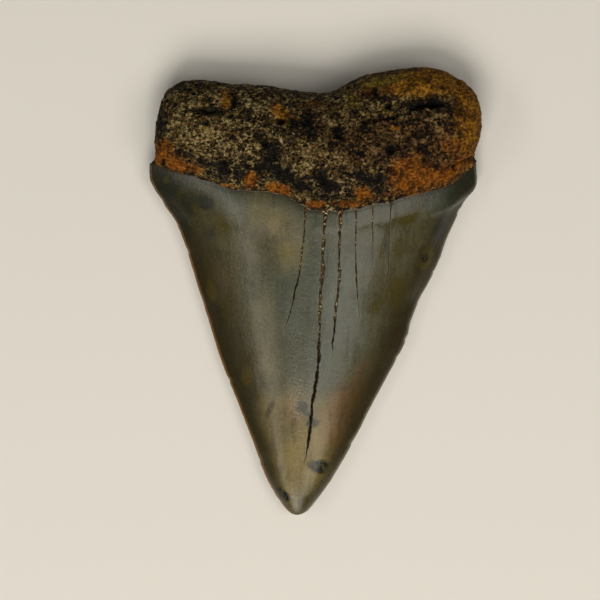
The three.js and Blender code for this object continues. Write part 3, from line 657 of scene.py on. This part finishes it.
def make_tooth():
    """The tooth as one closed mesh, with what its finishes need to know of each point."""
    places, facts, crown_faces, root_faces = tooth_skin()
    on_root, lingual, across, up, opened, mineral = facts.T
    rough = sew_mesh("rough", places, crown_faces + root_faces)
    normals = np.empty(len(places) * 3, np.float32)
    rough.vertex_normals.foreach_get("vector", normals)
    normals = normals.reshape(-1, 3)
    bpy.data.meshes.remove(rough)

    rooted = on_root > 0.5
    height, grain, hollow = np.zeros((3, len(places)))
    relief = root_relief(places[rooted], up[rooted], lingual[rooted])
    height[rooted], grain[rooted], hollow[rooted] = relief
    # Enamel: a slow waver and faint flutes that run lengthwise.
    for i in np.flatnonzero(~rooted):
        p = places[i]
        waver = 0.05 * noise.noise((0.12 * p[0], 0.07 * p[1], 3.1 * lingual[i]))
        flutes = 0.012 * noise.noise((0.9 * p[0], 0.05 * p[1], 8.0))
        height[i] = (waver + flutes) * ease(up[i], 0.02, 0.15) * (1 - abs(2 * across[i] - 1) ** 4)
    skin = places + normals * height[:, None]
    skin[:, 2] = np.maximum(skin[:, 2], 0)

    low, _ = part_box("tooth")
    tip = np.array([low.x, low.y, low.z]) * 1000 - np.array([left_most, 0, 0])
    mesh = sew_mesh("fossil_tooth", (skin + tip) / 1000, crown_faces + root_faces)
    width = np.linalg.norm(right_edge(up) - left_edge(up), axis=-1)
    to_edge = np.minimum(across, 1 - across) * width
    for name, values in {
        "grain": grain,
        "hollow": hollow,
        "opened": opened,
        "mineral": mineral,
        "to_edge": to_edge,
        "to_shade": to_edge * np.maximum(1, WIDE_CROWN / np.maximum(width, 1)),
        "up": up,
        "across": across,
        "ochre": marks(places, OCHRE) * lingual + 0.55 * (1 - lingual) * marks(places, OCHRE, 1.5),
        "rust": marks(places, RUST) * lingual,
        "yellow": marks(places, YELLOW),
        "peat": marks(places, PEAT),
        "khaki": marks(places, KHAKI, 1.2),
        "russet": marks(places, RUSSET, 1.2),
        "olive": marks(places, OLIVE, 1.1) * lingual,
        "dark_olive": marks(places, DARK_OLIVE, 1.1),
        "umber": marks(places, UMBER),
        "soot": marks(places, SOOT) * lingual,
        "slate": marks(places, SLATE) * lingual,
        "blue_grey": marks(places, BLUE_GREY, 1.3),
        "cream_and_sheen": marks(places, CREAM_AND_SHEEN, 1.3),
        "tan": marks(places, TAN, 1.2),
    }.items():
        attribute = mesh.attributes.new(name, "FLOAT", "POINT")
        attribute.data.foreach_set("value", values.astype(np.float32))
    for finish in (enamel(), dentine(), crack_filling()):
        mesh.materials.append(finish)
    on_enamel, on_dentine, in_crack = range(3)
    slots = [in_crack if min(opened[face]) > GAPING else on_enamel for face in crown_faces]
    slots = np.array(slots + [on_dentine] * len(root_faces), np.int32)
    mesh.polygons.foreach_set("material_index", slots)
    mesh.polygons.foreach_set("use_smooth", np.ones(len(slots), bool))
    tooth = bpy.data.objects.new("fossil_tooth", mesh)
    bpy.context.scene.collection.objects.link(tooth)
    return tooth


def ink(hex_colour):
    """An sRGB hex colour as the linear colour that a shader takes."""
    parts = [int(hex_colour[k : k + 2], 16) / 255 for k in (1, 3, 5)]
    return (*[p / 12.92 if p <= 0.04045 else ((p + 0.055) / 1.055) ** 2.4 for p in parts], 1.0)


def add(tree, kind, inputs=None, give=0, **settings):
    """Adds a node and gives one of its outputs. settings are its own, and inputs are values or other
    outputs."""
    node = tree.nodes.new(kind)
    for name, value in settings.items():
        setattr(node, name, value)
    for key, value in (inputs or {}).items():
        if isinstance(value, bpy.types.NodeSocket):
            tree.links.new(value, node.inputs[key])
        else:
            node.inputs[key].default_value = value
    return node.outputs[give]


def new_finish(name):
    material = bpy.data.materials.new(name)
    material.use_nodes = True
    return material, material.node_tree, material.node_tree.nodes["Principled BSDF"]


def mottling(tree, blob, detail=2.0, roughness=0.5, stretch=(1, 1, 1), curl=0.0):
    """Uneven colour in the stone, in blobs of so many millimetres, drawn out by stretch and twisted
    by curl."""
    place = add(tree, "ShaderNodeTexCoord", give="Object")
    drawn = tuple(1000 / s for s in stretch)
    place = add(tree, "ShaderNodeVectorMath", {0: place, 1: drawn}, operation="MULTIPLY")
    made = {"Vector": place, "Scale": 0.5 / blob, "Detail": detail, "Roughness": roughness}
    return add(tree, "ShaderNodeTexNoise", made | {"Distortion": curl})


def lay(tree, under, over, where, low, high, strength=1.0):
    """Lays one colour over another, from none at low to its full strength at high."""
    made = {"Value": where, "From Min": low, "From Max": high, "To Max": strength}
    share = add(tree, "ShaderNodeMapRange", made, interpolation_type="SMOOTHSTEP")
    return add(tree, "ShaderNodeMix", {0: share, 6: under, 7: over}, give=2, data_type="RGBA")


def stain(tree, under, over, mark, torn_by, strength=1.0):
    """Lays a listed mark over a colour, with its border torn by the mottling round it."""
    field = add(tree, "ShaderNodeAttribute", attribute_name=mark, give="Fac")
    torn = add(tree, "ShaderNodeMath", {0: torn_by, 1: 2.6, 2: -0.3}, operation="MULTIPLY_ADD")
    field = add(tree, "ShaderNodeMath", {0: field, 1: torn}, operation="MULTIPLY")
    return lay(tree, under, over, field, 0.15, 0.85, strength)


def enamel():
    """Enameloid, a shark's fluorapatite enamel, turned grey and olive in the ground and polished by
    wear. The eye sees a hard gloss over cloudy colour a little below the surface, with brown stains
    and black specks in it."""
    material, tree, shader = new_finish("mineralised_enameloid")
    cloud = mottling(tree, 3.5, 3, 0.55, (1, 1.4, 1))
    blotch = mottling(tree, 1.1, 4, 0.62)
    fleck = mottling(tree, 0.17, 3, 0.6)
    streak = mottling(tree, 0.4, 3, 0.6, (1, 18, 1))
    ragged = mottling(tree, 0.35, 4, 0.75)
    up, across, to_edge, to_shade, opened = [
        add(tree, "ShaderNodeAttribute", attribute_name=fact, give="Fac")
        for fact in ("up", "across", "to_edge", "to_shade", "opened")
    ]

    # Cloudy olive-grey, blue-grey in the middle, tan near the tip, and pale cream near the tip and
    # down the left side, partly a painted sheen.
    colour = lay(tree, ink("#3f3b20"), ink("#4b472e"), cloud, 0.35, 0.65)
    colour = stain(tree, colour, ink("#444a3d"), "blue_grey", cloud, 0.8)
    colour = stain(tree, colour, ink("#877544"), "cream_and_sheen", cloud, 0.8)
    colour = stain(tree, colour, ink("#6f4e28"), "tan", cloud, 0.7)
    # Pale flecks and streaks lie under the dark borders, and dark ones over them.
    colour = lay(tree, colour, ink("#66613f"), fleck, 0.5, 0.72, 0.3)
    colour = lay(tree, colour, ink("#5c5738"), streak, 0.5, 0.75, 0.4)
    # Dark borders: the edges' own olive-brown, with painted shade where the flanks slope away from
    # the light.
    colour = lay(tree, colour, ink("#231c02"), to_shade, 6.5, 1, 0.9)
    colour = lay(tree, colour, ink("#1e1c0b"), streak, 0.48, 0.28, 0.4)
    colour = lay(tree, colour, ink("#1f1c0c"), fleck, 0.47, 0.28, 0.4)
    colour = lay(tree, colour, ink("#241f0a"), blotch, 0.53, 0.75, 0.4)
    # Brown and olive stains, then the charred specks, most of them near the tip.
    colour = stain(tree, colour, ink("#2a1f06"), "umber", blotch, 0.75)
    colour = stain(tree, colour, ink("#16180c"), "dark_olive", blotch, 0.85)
    colour = stain(tree, colour, ink("#3d340a"), "olive", blotch, 0.95)
    colour = stain(tree, colour, ink("#1d1d10"), "slate", ragged, 0.85)
    char = lay(tree, ink("#080703"), ink("#454022"), ragged, 0.46, 0.6, 0.8)
    colour = stain(tree, colour, char, "soot", ragged, 0.96)
    # The thin cutting edges are orange-brown on the left, a stain, and greyer on the right, a
    # painted glow as if light shone through the thin enamel.
    rim_stain_and_glow = lay(tree, ink("#7a5216"), ink("#6d6850"), across, 0.4, 0.6)
    colour = lay(tree, colour, rim_stain_and_glow, to_edge, 0.45, 0.15, 0.75)
    # Towards the neck it turns dark olive, then brown with seepage and painted shade in the crevice
    # under the root, and ends in a thin worn lip.
    colour = lay(tree, colour, ink("#25281a"), up, 0.93, 0.985, 0.45)
    seep_and_crevice_shade = add(tree, "ShaderNodeMath", {0: blotch, 1: 0.02, 2: up}, operation="MULTIPLY_ADD")
    colour = lay(tree, colour, ink("#261a09"), seep_and_crevice_shade, 1.0, 1.008, 0.75)
    lip = add(tree, "ShaderNodeMath", {0: blotch, 1: 0.012, 2: up}, operation="MULTIPLY_ADD")
    colour = lay(tree, colour, ink("#4e4226"), lip, 1.006, 1.009, 0.4)
    # Dirt has drawn into the cracks, down to their hairline ends.
    colour = lay(tree, colour, ink("#1a1208"), opened, 0.05, 0.6, 0.9)
    tree.links.new(colour, shader.inputs["Base Color"])

    # Polished, but scuffed in patches and dull along the cracks.
    scuffed = add(tree, "ShaderNodeMath", {0: blotch, 1: 0.25, 2: 0.14}, operation="MULTIPLY_ADD")
    scuffed = add(tree, "ShaderNodeMath", {0: opened, 1: 0.5, 2: scuffed}, operation="MULTIPLY_ADD")
    # The last 2.5 mm of the tip are worn dull.
    worn_tip = {0: up, 1: -8, 2: 0.5}
    worn_tip = add(tree, "ShaderNodeMath", worn_tip, operation="MULTIPLY_ADD", use_clamp=True)
    scuffed = add(tree, "ShaderNodeMath", {0: scuffed, 1: worn_tip}, operation="ADD")
    scuffed = add(tree, "ShaderNodeMath", {0: scuffed, 1: 0.9}, operation="MINIMUM")
    tree.links.new(scuffed, shader.inputs["Roughness"])
    shader.inputs["IOR"].default_value = 1.63  # fluorapatite
    shader.inputs["Specular IOR Level"].default_value = 0.33
    shader.inputs["Subsurface Weight"].default_value = 0.08
    shader.inputs["Subsurface Radius"].default_value = (1.0, 0.8, 0.5)
    shader.inputs["Subsurface Scale"].default_value = 0.0006
    # Growth lines and fine scratches, hundredths of a millimetre high.
    relief = add(tree, "ShaderNodeMath", {0: streak, 1: fleck}, operation="ADD")
    bump = add(tree, "ShaderNodeBump", {"Strength": 0.8, "Distance": 0.00003, "Height": relief})
    tree.links.new(bump, shader.inputs["Normal"])
    return material


def crack_filling():
    """Iron-rich dirt and calcite, set hard in the drying cracks. It is matt and dark brown, and
    rusty with white crystals in it towards the root."""
    material, tree, shader = new_finish("crack_dirt_and_calcite")
    speck = mottling(tree, 0.14, 2, 0.6)
    up, mineral = [
        add(tree, "ShaderNodeAttribute", attribute_name=fact, give="Fac")
        for fact in ("up", "mineral")
    ]
    dirt = lay(tree, ink("#120c05"), ink("#33260f"), speck, 0.4, 0.65)
    rust = lay(tree, ink("#57431c"), ink("#6c4719"), up, 0.9, 0.99)
    rust = lay(tree, rust, ink("#2e1f0b"), speck, 0.48, 0.36)
    crystals = lay(tree, rust, ink("#c8bb96"), speck, 0.57, 0.64)
    colour = lay(tree, dirt, crystals, mineral, 0.1, 0.6)
    tree.links.new(colour, shader.inputs["Base Color"])
    shader.inputs["Roughness"].default_value = 0.85
    shader.inputs["Specular IOR Level"].default_value = 0.06
    bump = add(tree, "ShaderNodeBump", {"Strength": 1.0, "Distance": 0.00006, "Height": speck})
    tree.links.new(bump, shader.inputs["Normal"])
    return material


def dentine():
    """Osteodentine of the root, mineralised and etched by the ground. It is spongy, so the eye sees
    pale crumbs over near-black pores, with rust-coloured iron stain along the neck and over the
    right lobe. The brightest crumbs are painted glints."""
    material, tree, shader = new_finish("mineralised_osteodentine")
    # The real crumbs are about 0.1 mm. They are drawn about 0.3 mm apart, the finest that shows.
    crumb = mottling(tree, 0.17, 1.5, 0.55, (1.2, 1, 1), 0.8)
    patch = mottling(tree, 0.8, 4, 0.65)
    broad = mottling(tree, 4.0, 3, 0.55)
    grain, up, khaki, peat, hollow = [
        add(tree, "ShaderNodeAttribute", attribute_name=fact, give="Fac")
        for fact in ("grain", "up", "khaki", "peat", "hollow")
    ]

    # Crumbs stand up pale and pores lie dark: fine crumbs over the shape's own grain. They crowd
    # together in some patches, and under peat only the highest show.
    raised = crumb
    for what, by in ((grain, 0.09), (patch, 0.5), (khaki, 0.06), (peat, -0.17)):
        raised = add(tree, "ShaderNodeMath", {0: what, 1: by, 2: raised}, operation="MULTIPLY_ADD")
    raised = add(tree, "ShaderNodeMath", {0: raised, 1: 0.26}, operation="SUBTRACT")

    ground = lay(tree, ink("#2a2213"), ink("#372d18"), broad, 0.35, 0.65)
    ground = stain(tree, ground, ink("#35220e"), "russet", broad, 0.8)
    pale = lay(tree, ink("#62481f"), ink("#6a5c38"), patch, 0.42, 0.58)
    # The brightest crumbs are painted glints of light on mineral crystals.
    pale = lay(tree, pale, ink("#9e8b60"), raised, 0.6, 0.75)
    pale = stain(tree, pale, ink("#5c4020"), "russet", broad, 0.75)
    colour = lay(tree, ground, pale, raised, 0.49, 0.62, 0.95)
    colour = lay(tree, colour, ink("#080604"), raised, 0.48, 0.37)

    # Ochre, moss-yellow and rust stains each have their own light crumbs and dark pores.
    ochre = lay(tree, ink("#573708"), ink("#986818"), raised, 0.4, 0.7)
    ochre = lay(tree, ochre, ink("#1c1205"), raised, 0.4, 0.26, 0.6)
    colour = stain(tree, colour, ochre, "ochre", patch, 0.92)
    moss = lay(tree, ink("#3a3010"), ink("#7e6c2a"), raised, 0.42, 0.7)
    moss = lay(tree, moss, ink("#141004"), raised, 0.4, 0.26, 0.8)
    colour = stain(tree, colour, moss, "yellow", patch, 0.85)
    rust = lay(tree, ink("#4c2804"), ink("#854b04"), raised, 0.38, 0.7)
    rust = lay(tree, rust, ink("#201005"), raised, 0.4, 0.24, 0.7)
    colour = stain(tree, colour, rust, "rust", patch, 0.9)
    colour = stain(tree, colour, ink("#060504"), "peat", patch, 0.5)
    # Painted shade with dirt in the creases and holes, darker the deeper they lie, and in a ragged
    # dark hem where the root meets the enamel.
    colour = lay(tree, colour, ink("#060403"), hollow, 0.15, 0.6, 0.9)
    hem_dirt_and_shade = add(tree, "ShaderNodeMath", {0: patch, 1: 0.07, 2: up}, operation="MULTIPLY_ADD")
    colour = lay(tree, colour, ink("#120b05"), hem_dirt_and_shade, 0.056, 0.044, 0.85)
    tree.links.new(colour, shader.inputs["Base Color"])

    shader.inputs["Roughness"].default_value = 0.8
    shader.inputs["IOR"].default_value = 1.56
    shader.inputs["Specular IOR Level"].default_value = 0.08
    bump = add(tree, "ShaderNodeBump", {"Strength": 1.0, "Distance": 0.00018, "Height": crumb})
    tree.links.new(bump, shader.inputs["Normal"])
    return material


def table_card():
    """Matt pale card to lay the tooth on."""
    material, _, shader = new_finish("pale_card")
    shader.inputs["Base Color"].default_value = ink("#e0ddd6")
    shader.inputs["Roughness"].default_value = 0.9
    return material


def make_floor():
    mesh = bpy.data.meshes.new("floor")
    mesh.from_pydata([(-2, -2, 0), (2, -2, 0), (2, 2, 0), (-2, 2, 0)], [], [(0, 1, 2, 3)])  # metres
    mesh.materials.append(table_card())
    floor = bpy.data.objects.new("floor", mesh)
    bpy.context.scene.collection.objects.link(floor)
    return floor


def soft_box(name, place, length, width, power, target):
    """A studio lamp, lying level, that faces the target."""
    lamp = bpy.data.lights.new(name, "AREA")
    lamp.shape, lamp.size, lamp.size_y, lamp.energy = "RECTANGLE", length, width, power
    lamp.color = ink("#fffaf1")[:3]
    holder = bpy.data.objects.new(name, lamp)
    holder.location = place
    holder.rotation_euler = (Vector(target) - Vector(place)).to_track_quat("-Z", "Y").to_euler()
    bpy.context.scene.collection.objects.link(holder)


def studio(middle):
    """Soft light from the tip's end, with a long narrow lamp on the left and a broad one on the
    right. Each of those two draws a sheen down one side of the crown."""
    soft_box("key", (-0.05, -0.4, 0.5), 0.4, 0.3, 3.0, middle)
    soft_box("left", (-0.44, -0.12, 0.45), 0.5, 0.13, 0.63, middle)
    soft_box("right", (0.28, -0.1, 0.52), 0.36, 0.36, 1.05, middle)
    world = bpy.data.worlds.new("studio")
    world.use_nodes = True
    world.node_tree.nodes["Background"].inputs["Color"].default_value = ink("#e8e6e0")
    world.node_tree.nodes["Background"].inputs["Strength"].default_value = 0.12
    bpy.context.scene.world = world


def make_camera(tip):
    """Looks straight down, with the tip where the picture has it."""
    camera = bpy.data.cameras.new("camera")
    camera.sensor_width, camera.lens = 36, 180
    holder = bpy.data.objects.new("camera", camera)
    right = (PHOTO / 2 - TIP_PIXEL[0]) * PIXEL / 1000
    up = (TIP_PIXEL[1] - PHOTO / 2) * PIXEL / 1000
    wide = PHOTO * PIXEL / 1000
    level = 0.004  # the height at which the picture is that wide
    high = level + wide * camera.lens / camera.sensor_width
    holder.location = (tip[0] + right, tip[1] + up, high)
    bpy.context.scene.collection.objects.link(holder)
    bpy.context.scene.camera = holder


tooth_low, tooth_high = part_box("tooth")
tip_place = (tooth_low.x - left_most / 1000, tooth_low.y)

tooth = make_tooth()
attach(tooth, "root")
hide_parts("tooth")
make_floor()
studio(((tooth_low + tooth_high) / 2)[:])
make_camera(tip_place)
bpy.context.scene.view_settings.view_transform = "Standard"
